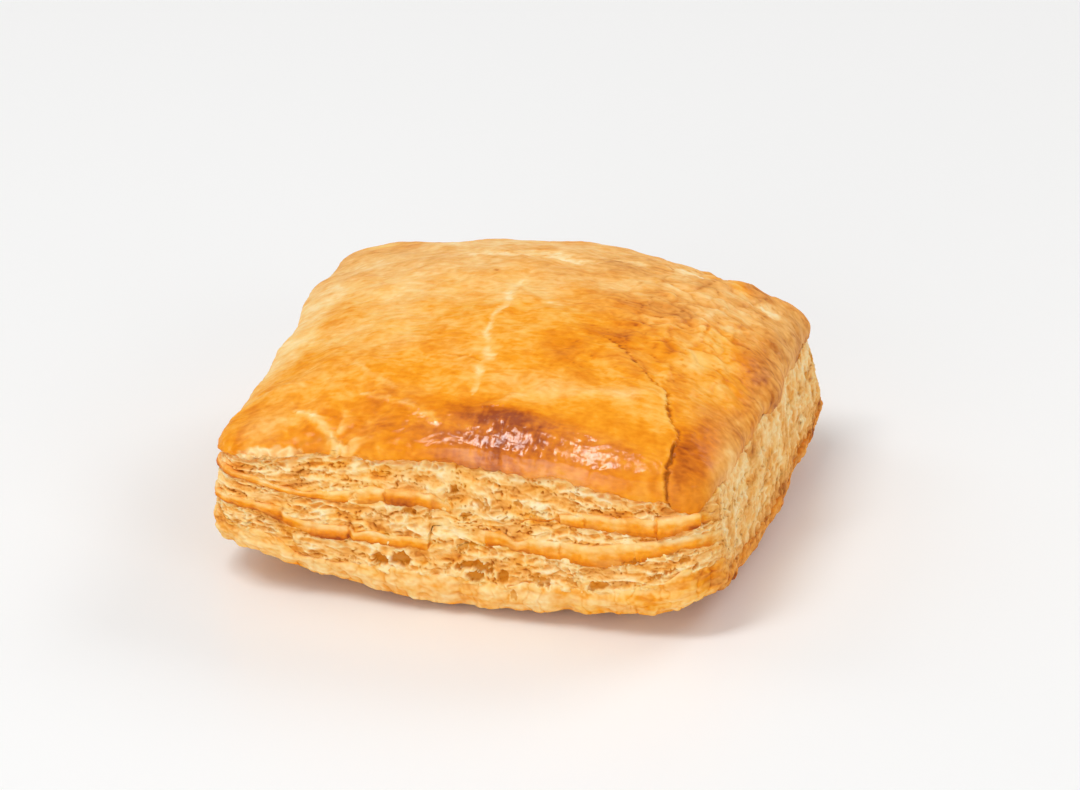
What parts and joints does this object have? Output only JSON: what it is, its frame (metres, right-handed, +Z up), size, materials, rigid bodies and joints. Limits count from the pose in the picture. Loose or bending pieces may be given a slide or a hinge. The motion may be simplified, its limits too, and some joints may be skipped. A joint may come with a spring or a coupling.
{
  "type": "puff pastry square",
  "caption": "Baked puff pastry square with a domed, glazed, cracked top crust and open flaky layered sides, on a flat underside.",
  "frame": {"origin": "on the flat underside, under the middle of the pastry's bounding box", "axes": "+Z up; -Y towards the front side that the picture shows, with the dark glossy blister above it; +X towards the right side"},
  "size_m": [0.0949, 0.0888, 0.0411],
  "materials": {
    "baked_dough": "baked dough: golden brown egg-glazed crust with a satin gloss, pale matt flaky crumb at the sides"
  },
  "bodies": {
    "root": {"puff_pastry": "baked_dough"}
  },
  "joints": []
}
